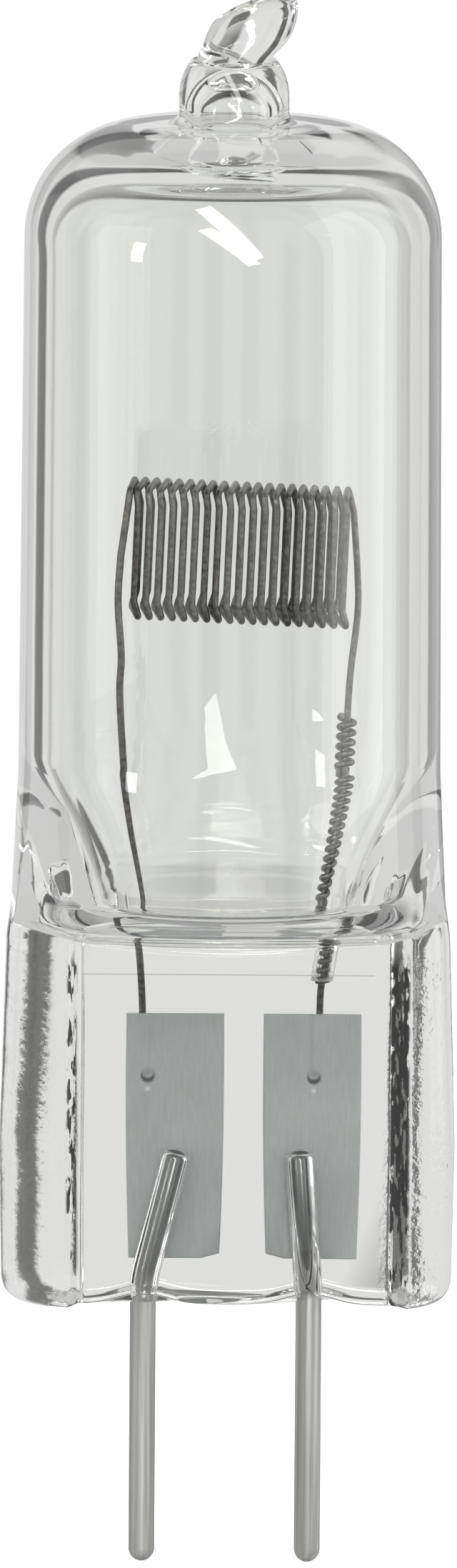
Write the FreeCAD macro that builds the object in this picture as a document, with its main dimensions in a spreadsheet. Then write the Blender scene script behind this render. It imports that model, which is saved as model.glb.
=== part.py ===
"""Halogen capsule bulb: a quartz envelope pinched flat over two foils, with a flat-wound filament.

+Z is up, X runs from one pin to the other, and the origin is midway between the pins where they
leave the pinch. Lengths are millimetres and angles are degrees.
"""

import FreeCAD, Part
import Sketcher
import math
import os

Vector = FreeCAD.Vector

# a wire's bend is rounded where it turns by more than this, over this share of its shorter side
SHARP_TURN = math.radians(30)
CORNER_SHARE = 0.45

SIZES = [
    # pinched foot of the envelope
    ("pinch_height", 13.7),
    ("pinch_middle", 6.2),
    ("pinch_half_width", 8.72),
    ("shoulder_half_width", 8.47),
    ("rib_top_half_width", 7.6),
    ("foot_half_width", 8.6),
    ("foot_corner", 1.0),
    ("rib_thickness", 4.5),
    ("left_rib_width", 2.64),
    ("right_rib_width", 1.75),
    ("rib_flank", 0.5),
    ("rib_rounding", 1.5),
    ("rib_top", 19.8),
    ("web_thickness", 2.7),
    ("dimple_radius", 1.5),
    ("dimple_depth", 0.45),
    ("dimple_clearance", 0.1),
    # round tube and its crimp
    ("crimp_half_width", 8.36),
    ("crimp_sink", 0.1),
    ("crimp_top", 20.6),
    ("crimp_slope", 80),
    ("crimp_foot_curve", 0.7),
    ("crimp_top_curve", 1.6),
    ("crimp_relief", 0.25),
    ("tube_radius", 8.05),
    ("wall", 1.05),
    ("floor_rise", 0.75),
    ("floor_half_width", 5.65),
    ("floor_half_depth", 0.35),
    # dome and exhaust tip
    ("crown_height", 45.45),
    ("crown_wall", 1.65),
    ("dome_corner", 4.35),
    ("inner_dome_corner", 2.9),
    ("dome_facets", 5),
    ("hollow_facets", 4),
    ("tip_facets", 3),
    ("neck_radius", 2.1),
    ("neck_flare", 0.45),
    ("neck_straight", 0.55),
    ("neck_dome_height", 2.2),
    ("tip_hole_radius", 1.62),
    ("neck_bore_radius", 1.3),
    ("neck_bore_height", 3.4),
    ("drop_half_length", 1.95),
    ("drop_half_width", 1.2),
    ("drop_lean", 51),
    ("drop_offset", 0.4),
    ("drop_rise", 2.4),
    # contact pins
    ("pin_radius", 0.5),
    ("pin_spacing", 6.35),
    ("pin_length", 10.17),
    ("pin_bend_radius", 6.0),
    ("pin_weld_length", 4.15),
    ("left_pin_lean", 14),
    ("right_pin_lean", 4),
    # foils
    ("foil_thickness", 0.05),
    ("weld_flat", 0.03),
    ("foil_top", 11.15),
    ("foil_length", 9.5),
    ("foil_top_width", 3.85),
    ("foil_foot_width", 3.6),
    ("left_foil_place", -2.0),
    ("right_foil_place", 3.25),
    # filament wire and coil
    ("wire_radius", 0.15),
    ("coil_turns", 19),
    ("coil_pitch", 0.431),
    ("coil_height", 4.88),
    ("coil_depth", 3.0),
    ("coil_corner", 0.8),
    ("coil_place", 0.39),
    ("coil_centre", 28.9),
    ("coil_tilt", 2.3),
    ("wire_sides", 6),
    ("bend_facets", 2),
    ("leg_weld_length", 2.4),
    ("left_weld_place", -3.26),
    ("right_weld_place", 3.52),
    # support coil wound over the right leg
    ("support_wire_radius", 0.11),
    ("support_clearance", 0.04),
    ("support_pitch", 0.376),
    ("support_turns", 27),
    ("support_sides", 5),
    ("support_steps", 8),
]

# each leg from the coil down to its foil: the share of the height between them, how far it stands
# out from the straight line between its ends, and how far back it lies
LEFT_LEG = [
    (0.88, 0.64, -1.60),
    (0.79, 0.78, -1.58),
    (0.69, 0.67, -1.50),
    (0.60, 0.67, -1.30),
    (0.36, 0.42, -0.60),
    (0.20, 0.15, 0.00),
    (0.10, 0.05, 0.10),
]
RIGHT_LEG = [
    (0.86, 0.51, 1.65),
    (0.77, 0.64, 1.62),
    (0.66, 0.45, 1.50),
    (0.57, 0.40, 1.35),
    (0.28, 0.38, 0.30),
    (0.07, 0.03, 0.10),
]


def new_sheet(doc):
    """Put every driving size in a spreadsheet under its own name."""
    sheet = doc.addObject("Spreadsheet::Sheet", "sizes")
    for row, (name, value) in enumerate(SIZES, start=1):
        sheet.set(f"A{row}", name)
        sheet.set(f"B{row}", str(value))
        sheet.setAlias(f"B{row}", name)
    doc.recompute()
    return sheet


doc = FreeCAD.newDocument("halogen_bulb")
sheet = new_sheet(doc)


def size(name):
    return float(sheet.get(name))


def value(expression):
    """The number that an expression over the sheet gives now."""
    return float(sheet.evalExpression(expression))


def plane_of(body, role):
    return next(f for f in body.Origin.OriginFeatures if f.Role == role)


def sketch_on(body, role, name):
    """A sketch flat on one of the body's own origin planes."""
    sketch = body.newObject("Sketcher::SketchObject", name)
    sketch.AttachmentSupport = (plane_of(body, role), "")
    sketch.MapMode = "FlatFace"
    return sketch


def bind_point(sketch, edge, end, across, along):
    """Hold one end of an edge at a place given by two expressions."""
    for kind, text in (("DistanceX", across), ("DistanceY", along)):
        held = Sketcher.Constraint(kind, -1, 1, edge, end, value(text))
        sketch.setExpression(f"Constraints[{sketch.addConstraint(held)}]", text)


def arc_between(start, end, radius, side):
    """The short arc from start to end, which bulges to the left of the way where side is 1."""
    chord = end - start
    left = Vector(-chord.y, chord.x, 0).normalize()
    inward = math.sqrt(radius * radius - chord.Length**2 / 4)
    centre = (start + end) / 2 - left * (side * inward)
    first, last = (end, start) if side > 0 else (start, end)
    angles = [math.atan2(p.y - centre.y, p.x - centre.x) for p in (first, last)]
    if angles[1] < angles[0]:
        angles[1] += 2 * math.pi
    return Part.ArcOfCircle(Part.Circle(centre, Vector(0, 0, 1), radius), *angles)


def draw(sketch, corners, closed=True):
    """Lines and arcs from corner to corner, each corner held by expressions.

    A corner is (across, along), or (across, along, radius, side) where the edge that arrives
    there is an arc that bulges to the left (side 1) or to the right (side -1) of the way.
    """
    places = [Vector(value(c[0]), value(c[1]), 0) for c in corners]
    order = list(range(1, len(corners))) + ([0] if closed else [])
    for edge, index in enumerate(order):
        start = places[index - 1]
        end = places[index]
        corner = corners[index]
        if len(corner) == 2:
            sketch.addGeometry(Part.LineSegment(start, end), False)
            bind_point(sketch, edge, 1, *corners[index - 1][:2])
            bind_point(sketch, edge, 2, *corner[:2])
            continue
        radius = value(corner[2])
        sketch.addGeometry(arc_between(start, end, radius, corner[3]), False)
        # an arc's own first end is the one that it leaves anticlockwise
        first, last = (1, 2) if corner[3] < 0 else (2, 1)
        bind_point(sketch, edge, first, *corners[index - 1][:2])
        bind_point(sketch, edge, last, *corner[:2])
        held = Sketcher.Constraint("Radius", edge, radius)
        sketch.setExpression(f"Constraints[{sketch.addConstraint(held)}]", corner[2])


def revolved(name, corners):
    """A body turned about the vertical axis from half of its outline."""
    body = doc.addObject("PartDesign::Body", name)
    sketch = sketch_on(body, "XZ_Plane", f"{name}_outline")
    draw(sketch, corners)
    turned = body.newObject("PartDesign::Revolution", f"{name}_turned")
    turned.Profile = sketch
    turned.ReferenceAxis = (sketch, ["V_Axis"])
    turned.Angle = 360
    body.Tip = turned
    return body


def stand(piece, place, lean=None):
    """Bind a piece's place to expressions, and lean it over sideways."""
    if lean:
        piece.Placement.Rotation = FreeCAD.Rotation(Vector(0, 1, 0), value(lean))
        piece.setExpression("Placement.Rotation.Angle", lean)
    for axis, text in place.items():
        piece.setExpression(f"Placement.Base.{axis}", text)


def joined(kind, name, *pieces):
    """The fusion or the common space of whole objects."""
    result = doc.addObject(f"Part::Multi{kind}", name)
    result.Shapes = pieces
    return result


def less(name, base, *tools):
    """What is left of the base once each tool in turn has been cut from it."""
    for tool in tools:
        last = tool is tools[-1]
        result = doc.addObject("Part::Cut", name if last else f"{name}_less_{tool.Name}")
        result.Base = base
        result.Tool = tool
        base = result
    return base


def rounded(across, along, half_width, half_height, first, last, facets):
    """Corners on an ellipse, from one angle to another, with a few facets between them."""
    steps = int(size(facets))
    angles = [first + (last - first) * step / steps for step in range(steps + 1)]
    return [
        (f"{across} + {half_width} * cos({angle})", f"{along} + {half_height} * sin({angle})")
        for angle in angles
    ]


def neck_end():
    """Height where the neck of the exhaust tip starts to close."""
    return "(sizes.crown_height + sizes.neck_flare + sizes.neck_straight)"


def tube_outside():
    """Outside of the tube, dome and neck of the exhaust tip, turned in one."""
    crown = "sizes.crown_height"
    corner = "sizes.dome_corner"
    middle = f"sizes.tube_radius - {corner}"
    foot = "sizes.pinch_height - sizes.crimp_sink"
    return revolved("tube_outside", [
        ("0", foot),
        ("sizes.crimp_half_width", foot),
        ("sizes.tube_radius", "sizes.crimp_top"),
        *rounded(middle, f"{crown} - {corner}", corner, corner, 0, 90, "dome_facets"),
        ("sizes.neck_radius + sizes.neck_flare", crown),
        ("sizes.neck_radius", f"{crown} + sizes.neck_flare"),
        *rounded("0", neck_end(), "sizes.neck_radius", "sizes.neck_dome_height", 0, 90, "hollow_facets"),
    ])


def cavity_floor():
    return "(sizes.pinch_height + sizes.floor_rise)"


def tube_inside():
    """The hollow of the tube, which opens through the tip hole into the neck."""
    crown = "(sizes.crown_height - sizes.crown_wall)"
    corner = "sizes.inner_dome_corner"
    bore = "sizes.tube_radius - sizes.wall"
    neck = "sizes.neck_bore_radius"
    neck_top = f"{crown} + sizes.neck_bore_height - {neck}"
    return revolved("tube_inside", [
        ("0", cavity_floor()),
        ("sizes.floor_half_width", cavity_floor()),
        (bore, "sizes.crimp_top"),
        *rounded(f"{bore} - {corner}", f"{crown} - {corner}", corner, corner, 0, 90, "hollow_facets"),
        ("sizes.tip_hole_radius", crown),
        (neck, f"{crown} + sizes.tip_hole_radius - {neck}"),
        *rounded("0", neck_top, neck, neck, 0, 90, "tip_facets"),
    ])


def squeezed(name, tube, foot_depth, foot, clear_depth, foot_curve, top_curve):
    """A round tube closed in from front and back by the pinching jaws.

    From the side, the jaws leave a hollow curve at the foot, a straight slope, and a full curve
    that runs out where the tube is still round.
    """
    slope = "sizes.crimp_slope"
    curved = f"(1 - cos({slope}))"
    low_y = f"({foot_depth} + {foot_curve} * {curved})"
    low_z = f"({foot} + {foot_curve} * sin({slope}))"
    high_y = f"({clear_depth} - {top_curve} * {curved})"
    high_z = f"({low_z} + ({high_y} - {low_y}) / tan({slope}))"
    top_z = f"({high_z} + {top_curve} * sin({slope}))"
    lid = "(sizes.crown_height + sizes.tube_radius)"
    body = doc.addObject("PartDesign::Body", f"{name}_jaws")
    sketch = sketch_on(body, "YZ_Plane", f"{name}_jaws_outline")
    draw(sketch, [
        (f"-{foot_depth}", foot, foot_curve, 1),
        (foot_depth, foot),
        (low_y, low_z, foot_curve, 1),
        (high_y, high_z),
        (clear_depth, top_z, top_curve, -1),
        (clear_depth, lid),
        (f"-{clear_depth}", lid),
        (f"-{clear_depth}", top_z),
        (f"-{high_y}", high_z, top_curve, -1),
        (f"-{low_y}", low_z),
    ])
    pad = body.newObject("PartDesign::Pad", f"{name}_jaws_pad")
    pad.Profile = sketch
    pad.SideType = "Symmetric"
    # long enough to take in the whole width of the pinch
    pad.setExpression("Length", "4 * sizes.tube_radius")
    body.Tip = pad
    return joined("Common", name, tube, body)


def ribs():
    """Both ribs as one column, the left one wider: the jaws press a thin web between them."""
    left_inner = "(sizes.left_rib_width - sizes.pinch_half_width)"
    left_foot = f"{left_inner} + sizes.rib_flank"
    right_inner = "(sizes.pinch_half_width - sizes.right_rib_width)"
    right_foot = f"{right_inner} - sizes.rib_flank"
    half_rib = "sizes.rib_thickness / 2"
    half_web = "sizes.web_thickness / 2"
    outer = "sizes.pinch_half_width"
    body = doc.addObject("PartDesign::Body", "ribs")
    sketch = sketch_on(body, "XY_Plane", "ribs_outline")
    rounding = "sizes.rib_rounding"
    rounded = f"({outer} - {rounding})"
    draw(sketch, [
        (right_foot, f"-{half_web}"),
        (right_inner, f"-{half_rib}"),
        (rounded, f"-{half_rib}"),
        (outer, f"-{half_rib} + {rounding}", rounding, -1),
        (outer, f"{half_rib} - {rounding}"),
        (rounded, half_rib, rounding, -1),
        (right_inner, half_rib),
        (right_foot, half_web),
        (left_foot, half_web),
        (left_inner, half_rib),
        (f"-{rounded}", half_rib),
        (f"-{outer}", f"{half_rib} - {rounding}", rounding, -1),
        (f"-{outer}", f"-{half_rib} + {rounding}"),
        (f"-{rounded}", f"-{half_rib}", rounding, -1),
        (left_inner, f"-{half_rib}"),
        (left_foot, f"-{half_web}"),
    ])
    pad = body.newObject("PartDesign::Pad", "ribs_pad")
    pad.Profile = sketch
    pad.setExpression("Length", "sizes.rib_top")
    body.Tip = pad
    return body


def pinch_front():
    """The pinch seen from the front: a little wider at mid height, with round bottom corners."""
    corner = "sizes.foot_corner"
    foot = "sizes.foot_half_width"
    body = doc.addObject("PartDesign::Body", "pinch_front")
    sketch = sketch_on(body, "XZ_Plane", "pinch_front_outline")
    draw(sketch, [
        (f"{foot} - {corner}", "0"),
        (foot, corner, corner, -1),
        ("sizes.pinch_half_width", "sizes.pinch_middle"),
        ("sizes.shoulder_half_width", "sizes.pinch_height"),
        ("sizes.rib_top_half_width", "sizes.crimp_top"),
        ("-sizes.rib_top_half_width", "sizes.crimp_top"),
        ("-sizes.shoulder_half_width", "sizes.pinch_height"),
        ("-sizes.pinch_half_width", "sizes.pinch_middle"),
        (f"-{foot}", corner),
        (f"-{foot} + {corner}", "0", corner, -1),
    ])
    pad = body.newObject("PartDesign::Pad", "pinch_front_pad")
    pad.Profile = sketch
    pad.SideType = "Symmetric"
    pad.setExpression("Length", "2 * sizes.rib_thickness")
    body.Tip = pad
    return body


def exhaust_drop():
    """The bead where the exhaust tube was melted off, leaning over to one side."""
    width = "sizes.drop_half_width"
    drop = revolved("drop", rounded("0", "0", width, "sizes.drop_half_length", -90, 90, "dome_facets"))
    stand(drop, {"x": "sizes.drop_offset", "z": f"{neck_end()} + sizes.drop_rise"}, "sizes.drop_lean")
    return drop


def pin_dimple(name, place):
    """A shallow cone where the glass draws up round a pin."""
    dimple = doc.addObject("Part::Cone", name)
    dimple.setExpression("Radius1", "sizes.dimple_radius")
    dimple.setExpression("Radius2", "sizes.pin_radius + sizes.dimple_clearance")
    dimple.setExpression("Height", "sizes.dimple_depth")
    stand(dimple, {"x": place})
    return dimple


def foil_foot():
    return "(sizes.foil_top - sizes.foil_length)"


def pin(name, side, lean, strip):
    """A round pin with a domed tip, bent inwards inside the glass and pressed flat on its foil."""
    start = f"{side} * sizes.pin_spacing / 2"
    radius = "sizes.pin_radius"
    shank = revolved(f"{name}_shank", [
        ("0", "0"),
        (radius, "0"),
        *rounded("0", f"{radius} - sizes.pin_length", radius, radius, 0, -90, "tip_facets"),
    ])
    stand(shank, {"x": start})
    bend = "sizes.pin_bend_radius"
    bend_x = f"{start} - {side} * {bend} * (1 - cos({lean}))"
    bend_z = f"{bend} * sin({lean})"
    top_z = f"({foil_foot()} + sizes.pin_weld_length)"
    top_x = f"{bend_x} - {side} * tan({lean}) * ({top_z} - {bend_z})"
    root = doc.addObject("PartDesign::Body", f"{name}_root")
    path = sketch_on(root, "XZ_Plane", f"{name}_path")
    draw(path, [(start, "0"), (bend_x, bend_z, bend, -side), (top_x, top_z)], closed=False)
    section = sketch_on(root, "XY_Plane", f"{name}_section")
    section.setExpression("AttachmentOffset.Base.x", start)
    section.addGeometry(Part.Circle(Vector(0, 0, 0), Vector(0, 0, 1), size("pin_radius")), False)
    section.addConstraint(Sketcher.Constraint("Coincident", 0, 3, -1, 1))
    held = section.addConstraint(Sketcher.Constraint("Radius", 0, size("pin_radius")))
    section.setExpression(f"Constraints[{held}]", radius)
    pipe = root.newObject("PartDesign::AdditivePipe", f"{name}_pipe")
    pipe.Profile = section
    pipe.Spine = path
    root.Tip = pipe
    return less(name, joined("Fuse", f"{name}_bar", shank, root), strip)


def foil(name, place):
    """A thin molybdenum strip, a little wider at the top, flat against the backs of the wires."""
    body = doc.addObject("PartDesign::Body", name)
    foot = foil_foot()
    sketch = sketch_on(body, "XZ_Plane", f"{name}_outline")
    back = "sizes.pin_radius - sizes.weld_flat + sizes.foil_thickness"
    sketch.setExpression("AttachmentOffset.Base.z", f"-({back})")
    draw(sketch, [
        (f"{place} - sizes.foil_foot_width / 2", foot),
        (f"{place} + sizes.foil_foot_width / 2", foot),
        (f"{place} + sizes.foil_top_width / 2", "sizes.foil_top"),
        (f"{place} - sizes.foil_top_width / 2", "sizes.foil_top"),
    ])
    pad = body.newObject("PartDesign::Pad", f"{name}_pad")
    pad.Profile = sketch
    pad.setExpression("Length", "sizes.foil_thickness")
    body.Tip = pad
    return body


def softened(route):
    """The route with each sharp corner turned into a few short straight facets."""
    radius = size("coil_corner")
    facets = int(size("bend_facets"))
    result = [route[0]]
    for before, corner, after in zip(route, route[1:], route[2:]):
        back = (before - corner).normalize()
        on = (after - corner).normalize()
        turn = math.pi - back.getAngle(on)
        if turn < SHARP_TURN:
            result.append(corner)
            continue
        shorter = min((before - corner).Length, (after - corner).Length)
        reach = min(radius * math.tan(turn / 2), shorter * CORNER_SHARE)
        centre = corner + (back + on).normalize() * (reach / math.sin(turn / 2))
        first = corner + back * reach - centre
        last = corner + on * reach - centre
        for step in range(facets + 1):
            share = step / facets
            blend = first * math.sin((1 - share) * turn) + last * math.sin(share * turn)
            result.append(centre + blend / math.sin(turn))
    result.append(route[-1])
    return result


def bent_wire(points, radius, sides):
    """A wire that runs straight from point to point and is mitred at each bend."""
    ways = [(end - start).normalize() for start, end in zip(points, points[1:])]
    across = ways[0].cross(Vector(0, 1, 0)).normalize()
    other = ways[0].cross(across)
    angles = [2 * math.pi * side / sides for side in range(sides)]
    ring = [points[0] + across * (radius * math.cos(a)) + other * (radius * math.sin(a)) for a in angles]
    rings = [ring]
    for index, way in enumerate(ways, start=1):
        mitre = way + ways[index] if index < len(ways) else way
        ring = [p + way * ((points[index] - p).dot(mitre) / way.dot(mitre)) for p in ring]
        rings.append(ring)
    faces = []
    for lower, upper in zip(rings, rings[1:]):
        for side in range(sides):
            after = (side + 1) % sides
            quad = [lower[side], lower[after], upper[after], upper[side], lower[side]]
            faces.append(Part.Face(Part.makePolygon(quad)))
    for cap in (rings[0], rings[-1]):
        faces.append(Part.Face(Part.makePolygon(cap + [cap[0]])))
    solid = Part.Solid(Part.Shell(faces))
    if solid.Volume < 0:
        solid.reverse()
    return solid


def coil_end(side):
    """The coil's top corner where a leg leaves it: in front on the left, behind on the right."""
    along = side * size("coil_pitch") * size("coil_turns") / 2
    return on_coil(along, side * size("coil_depth") / 2, size("coil_height") / 2)


def on_coil(along, back, up):
    """A place given from the middle of the coil, which hangs a little askew."""
    tilt = FreeCAD.Rotation(Vector(0, 1, 0), size("coil_tilt"))
    return Vector(size("coil_place"), 0, size("coil_centre")) + tilt.multVec(Vector(along, back, up))


def leg_route(side):
    """A leg's points from the coil's end to the foot of its weld, down the face of its foil."""
    top = coil_end(side)
    name, leg = ("right", RIGHT_LEG) if side > 0 else ("left", LEFT_LEG)
    depth = size("pin_radius") - size("wire_radius")
    weld = Vector(size(f"{name}_weld_place"), depth, size("foil_top"))
    route = [
        Vector(
            weld.x + share * (top.x - weld.x) + side * out,
            back,
            weld.z + share * (top.z - weld.z),
        )
        for share, out, back in leg
    ]
    return route + [weld, weld - Vector(0, 0, size("leg_weld_length"))]


def coil_route():
    """Corners of the flat coil: each turn rises in front, crosses over, drops behind, returns."""
    pitch = size("coil_pitch")
    turns = int(size("coil_turns"))
    back = size("coil_depth") / 2
    up = size("coil_height") / 2
    start = -pitch * turns / 2
    corners = []
    for turn in range(turns):
        front = start + turn * pitch
        if turn:
            corners.append(on_coil(front, -back, -up))
        corners.append(on_coil(front, -back, up))
        corners.append(on_coil(front + pitch, back, up))
        if turn < turns - 1:
            corners.append(on_coil(front + pitch, back, -up))
    return corners


def part_feature(name, shape):
    """A finished shape as an object of its own."""
    feature = doc.addObject("Part::Feature", name)
    feature.Shape = shape
    feature.Placement = FreeCAD.Placement()
    return feature


def leg_bore(name, side):
    """A leg's path through the glass, wide enough for its flat-sided wire turned either way."""
    sides = int(size("wire_sides"))
    radius = size("wire_radius") / math.cos(math.pi / sides)
    return part_feature(name, bent_wire(leg_route(side), radius, sides))


def filament(strips):
    """One tungsten wire: left leg, flat-wound coil and right leg, pressed flat where welded."""
    route = leg_route(-1)[::-1] + coil_route() + leg_route(1)
    shape = bent_wire(softened(route), size("wire_radius"), int(size("wire_sides")))
    return less("filament", part_feature("filament_wire", shape), *strips)


def support_mean_radius():
    return size("wire_radius") + size("support_clearance") + size("support_wire_radius")


def support_axis():
    """The stretch of the right leg inside the support coil, from its foot upwards."""
    return leg_route(1)[-3:-6:-1]


def support_coil():
    """Fine tungsten wire wound round the right leg, which steadies it where it enters the glass."""
    foot, shoulder, top = support_axis()
    radius = support_mean_radius()
    steps = int(size("support_steps"))
    lower = (shoulder - foot).Length
    points = []
    for step in range(int(size("support_turns")) * steps + 1):
        travelled = step * size("support_pitch") / steps
        above = travelled > lower
        base, end = (shoulder, top) if above else (foot, shoulder)
        way = (end - base).normalize()
        middle = base + way * (travelled - lower if above else travelled)
        other = way.cross(Vector(1, 0, 0)).normalize()
        level = other.cross(way)
        angle = 2 * math.pi * step / steps
        points.append(middle + level * (radius * math.cos(angle)) + other * (radius * math.sin(angle)))
    sides = int(size("support_sides"))
    return part_feature("support_coil", bent_wire(points, size("support_wire_radius"), sides))


def support_bore():
    """The round hole that the support coil's foot leaves in the glass, up to the cavity."""
    foot, shoulder = support_axis()[:2]
    way = (shoulder - foot).normalize()
    # the coil's outside at the mitred bends between its straight steps
    radius = support_mean_radius() + size("support_wire_radius") / math.cos(math.pi / size("support_steps"))
    start = foot - way * (2 * size("support_wire_radius"))
    return part_feature("support_bore", Part.makeCylinder(radius, (shoulder - start).Length, start, way))


def envelope(embedded):
    """Tube, crimp, pinch and tip fused into one quartz piece, less its hollow and what it holds."""
    outer_tube = squeezed(
        "squeezed_outside",
        tube_outside(),
        "(sizes.web_thickness / 2 - sizes.crimp_sink)",
        "(sizes.pinch_height - 2 * sizes.crimp_sink)",
        "(sizes.tube_radius + sizes.crimp_relief)",
        "sizes.crimp_foot_curve",
        "sizes.crimp_top_curve",
    )
    inner_tube = squeezed(
        "inside",
        tube_inside(),
        "sizes.floor_half_depth",
        f"({cavity_floor()} - sizes.crimp_sink)",
        "(sizes.tube_radius - sizes.wall + sizes.crimp_relief)",
        "sizes.crimp_foot_curve",
        "(sizes.crimp_top_curve - sizes.wall)",
    )
    pinch = joined("Common", "pinch", pinch_front(), ribs())
    outside = joined("Fuse", "outside", outer_tube, pinch, exhaust_drop())
    dimples = [
        pin_dimple("left_dimple", "-sizes.pin_spacing / 2"),
        pin_dimple("right_dimple", "sizes.pin_spacing / 2"),
    ]
    return less("glass_envelope", outside, inner_tube, *dimples, *embedded)


def build():
    """Make every piece, and give each one the label that names its file."""
    strips = [foil("foil_left", "sizes.left_foil_place"), foil("foil_right", "sizes.right_foil_place")]
    pins = [
        pin("pin_left", -1, "sizes.left_pin_lean", strips[0]),
        pin("pin_right", 1, "sizes.right_pin_lean", strips[1]),
    ]
    wires = [filament(strips), support_coil()]
    bores = [leg_bore("left_bore", -1), leg_bore("right_bore", 1), support_bore()]
    glass = envelope([*strips, *pins, *bores])
    return [glass, *wires, *strips, *pins]


def write(pieces):
    """Stop on any failed object, then write each piece."""
    doc.recompute()
    for item in doc.Objects:
        if "Invalid" in item.State or "Error" in item.State:
            raise RuntimeError(f"{item.Name} failed: {item.State}")
    os.makedirs("parts", exist_ok=True)
    for piece in pieces:
        piece.Label = piece.Name
        if piece.Shape.isNull() or not piece.Shape.isValid():
            raise RuntimeError(f"{piece.Name} has no valid shape")
        print(piece.Name, len(piece.Shape.Solids), round(piece.Shape.Volume, 4), piece.Shape.BoundBox)
        piece.Shape.exportStep(os.path.join("parts", f"{piece.Label}.step"))


write(build())
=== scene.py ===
"""Halogen capsule bulb, dressed for its photograph: quartz envelope, filament, foils and pins.

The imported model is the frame. Lengths are written in millimetres and scaled to metres in the mesh.
X runs from the left pin to the right one, Y away from the viewer, and Z up to the exhaust tip.
"""

import math

import bmesh
import bpy
from mathutils import Matrix, Vector, noise


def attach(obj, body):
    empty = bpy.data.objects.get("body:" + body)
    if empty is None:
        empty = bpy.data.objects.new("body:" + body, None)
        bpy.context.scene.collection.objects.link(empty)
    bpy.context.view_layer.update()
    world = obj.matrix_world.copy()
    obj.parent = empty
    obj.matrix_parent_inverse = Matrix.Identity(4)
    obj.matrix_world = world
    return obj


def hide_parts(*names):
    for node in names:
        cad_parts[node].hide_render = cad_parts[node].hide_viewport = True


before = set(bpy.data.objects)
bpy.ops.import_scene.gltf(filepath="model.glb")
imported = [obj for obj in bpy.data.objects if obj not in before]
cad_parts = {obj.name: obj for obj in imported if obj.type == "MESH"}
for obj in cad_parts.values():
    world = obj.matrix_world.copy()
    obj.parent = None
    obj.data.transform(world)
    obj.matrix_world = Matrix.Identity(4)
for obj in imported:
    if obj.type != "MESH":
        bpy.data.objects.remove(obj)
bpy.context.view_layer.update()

# Contact pins: round molybdenum rod, 1 mm thick, drawn and cut to length with domed tips.
# Each is bent inwards inside the glass, where its root is welded to a foil. The bare ends are satin
# grey with fine draw lines, and the sealed ends are painted a darker grey, as shade in the glass.
MM = 0.001
PIN_RADIUS = 0.5
PIN_SPACING = 6.35
PIN_LENGTH = 10.17
PIN_TOP = 5.6
PIN_BEND_RADIUS = 6.0
PIN_BEND_STEPS = 8
PIN_LEANS = {-1: 14.0, 1: 4.0}
PIN_SIDES = 32
TIP_STEPS = 8
ROOT_DOME = 0.3
ROOT_STEPS = 6
SIDES = {-1: "left", 1: "right"}
MOLYBDENUM = "#a6a6a2"
MOLYBDENUM_BRIGHT = "#cbcbc7"
MOLYBDENUM_BURNT = "#57493d"
MOLYBDENUM_SEALED_SHADE = "#7f8281"
# the real draw lines are finer than this, too fine to show
DRAW_LINE_WIDTH = 0.2
# the burn's clouds to a millimetre, their wander up the pin, and where burnt metal and the sealed ends'
# painted shade set in
BURN_CLOUDS = 0.9
BURN_WANDER = 3.0
BURNT_LEVELS = (-10.2, -9.6)
SEALED_SHADE_LEVELS = (0.2, 1.2)


def linear(code):
    """A colour's linear values from its sRGB hex code."""
    parts = [int(code[at:at + 2], 16) / 255 for at in (1, 3, 5)]
    return tuple(c / 12.92 if c <= 0.04045 else ((c + 0.055) / 1.055) ** 2.4 for c in parts) + (1.0,)


def add(tree, kind, inputs=None, **settings):
    """One node: settings are its properties, inputs are values or the sockets that feed it."""
    made = tree.nodes.new(kind)
    for key, value in settings.items():
        setattr(made, key, value)
    for key, value in (inputs or {}).items():
        if isinstance(value, bpy.types.NodeSocket):
            tree.links.new(value, made.inputs[key])
        else:
            made.inputs[key].default_value = value
    return made


def new_material(name):
    """An empty material and its tree."""
    material = bpy.data.materials.new(name)
    material.use_nodes = True
    material.node_tree.nodes.clear()
    return material, material.node_tree


def spread(tree, texture, dark, light, low=0.35, high=0.65):
    """A colour that runs from dark to light as the texture's value runs from low to high."""
    share = add(tree, "ShaderNodeMapRange", {"Value": texture, "From Min": low, "From Max": high})
    colour = add(tree, "ShaderNodeMix", {0: share.outputs[0]}, data_type="RGBA")
    for socket, code in ((6, dark), (7, light)):
        if isinstance(code, bpy.types.NodeSocket):
            tree.links.new(code, colour.inputs[socket])
        else:
            colour.inputs[socket].default_value = linear(code)
    return colour.outputs[2]


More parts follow.
